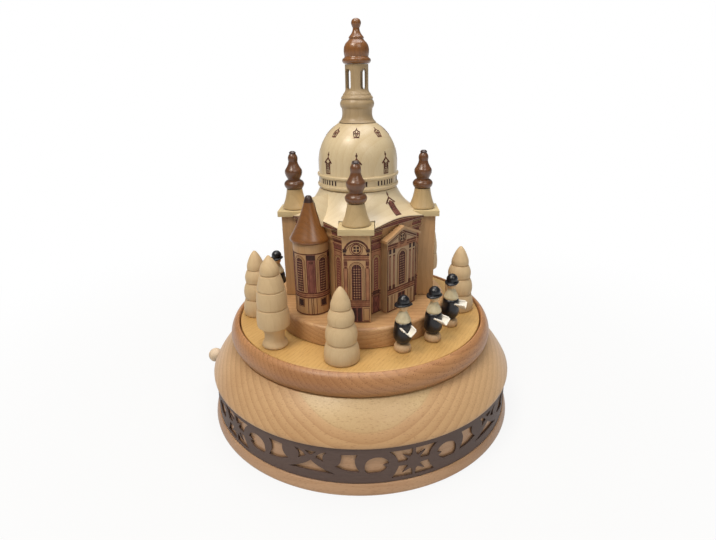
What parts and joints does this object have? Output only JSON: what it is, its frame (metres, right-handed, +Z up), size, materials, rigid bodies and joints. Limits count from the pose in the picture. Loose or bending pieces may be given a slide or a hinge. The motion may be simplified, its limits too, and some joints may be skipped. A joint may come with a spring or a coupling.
{
  "type": "music box",
  "caption": "Wind-up wooden musical carousel: church, trees and singing figures on a turning disc over a bell-shaped base with a spring movement, key and stop knob.",
  "frame": {"origin": "middle of the footprint, stop knob included, on the surface the base stands on; the axis of the turning disc is 3.875 mm from it towards +X", "axes": "+Z up along the axis of the turning disc; the front tower of the church faces -Y; the stop knob points along -X"},
  "size_m": [0.1968, 0.189, 0.225],
  "materials": {
    "beech": "satin lacquer over beech with a flecked grain",
    "maple": "satin lacquer over pale maple, engraved lines in reddish brown",
    "pale_maple": "fine sanded maple, matt",
    "brown_stain": "brown stain under satin lacquer",
    "fretwork": "dark stained veneer, matt",
    "plywood": "sanded plywood",
    "black_paint": "black, cream and white paint on turned wood",
    "brass": "turned brass",
    "steel": "ground steel",
    "zinc": "die-cast zinc alloy"
  },
  "bodies": {
    "base": {"base_drum": "beech", "ornament_band": "fretwork", "housing_bell": "beech", "stage_ring": "beech", "bottom_plate": "plywood", "bottom_screw_1": "steel", "bottom_screw_2": "steel", "movement_bedplate": "zinc", "movement_screw_1": "steel", "movement_screw_2": "steel", "tone_comb": "steel", "comb_screw_1": "steel", "comb_screw_2": "steel"},
    "carousel": {"turntable": "beech", "church_plinth": "beech", "drive_shaft": "steel", "spring_barrel": "brass", "mainspring": "steel", "church_body": "maple", "church_roof": "maple", "apse": "maple", "apse_roof": "brown_stain", "gable_portal_right": "maple", "gable_portal_back_right": "maple", "gable_portal_back_left": "maple", "dome": "maple", "lantern": "maple", "lantern_cap": "brown_stain", "stair_tower_front": "maple", "stair_tower_right": "maple", "stair_tower_back": "maple", "stair_tower_left": "maple", "tower_bell_front": "maple", "tower_bell_right": "maple", "tower_bell_back": "maple", "tower_bell_left": "maple", "tower_finial_front": "brown_stain", "tower_finial_right": "brown_stain", "tower_finial_back": "brown_stain", "tower_finial_left": "brown_stain", "tree_front": "pale_maple", "tree_left_rear": "pale_maple", "tree_right_rear": "pale_maple", "tree_back": "pale_maple", "tree_left_front": "pale_maple", "tree_right_back": "pale_maple", "figure_right_1": "black_paint", "figure_right_2": "black_paint", "figure_right_3": "black_paint", "figure_left_1": "black_paint", "figure_left_2": "black_paint", "figure_left_3": "black_paint"},
    "key": {"winding_key": "brass", "winding_arbor": "steel"},
    "cylinder": {"music_cylinder": "brass"},
    "intermediate": {"intermediate_wheel": "brass"},
    "governor": {"governor_fan": "brass"},
    "stop": {"stop_rod": "steel", "stop_knob": "beech"}
  },
  "joints": [
    {"name": "carousel_spin", "type": "hinge", "parent": "base", "child": "carousel", "pos_m": [0.00387, 0, 0.0598], "axis": [0, 0, 1], "continuous": true},
    {"name": "key_spin", "type": "hinge", "parent": "base", "child": "key", "pos_m": [0.00387, 0, 0.008], "axis": [0, 0, 1], "continuous": true},
    {"name": "cylinder_spin", "type": "hinge", "parent": "base", "child": "cylinder", "pos_m": [0.00387, 0, 0.0342], "axis": [1, 0, 0], "continuous": true},
    {"name": "intermediate_spin", "type": "hinge", "parent": "base", "child": "intermediate", "pos_m": [0.00387, 0.01, 0.0342], "axis": [1, 0, 0], "continuous": true},
    {"name": "governor_spin", "type": "hinge", "parent": "base", "child": "governor", "pos_m": [-0.05312, 0.002, 0.0342], "axis": [0, 0, 1], "continuous": true},
    {"name": "stop_slide", "type": "slide", "parent": "base", "child": "stop", "axis": [-1, 0, 0], "range_m": [0, 0.004]}
  ],
  "couplings": [
    {"joint": "cylinder_spin", "follows": "carousel_spin", "ratio": -4},
    {"joint": "intermediate_spin", "follows": "carousel_spin", "ratio": 12},
    {"joint": "governor_spin", "follows": "carousel_spin", "ratio": 192}
  ]
}
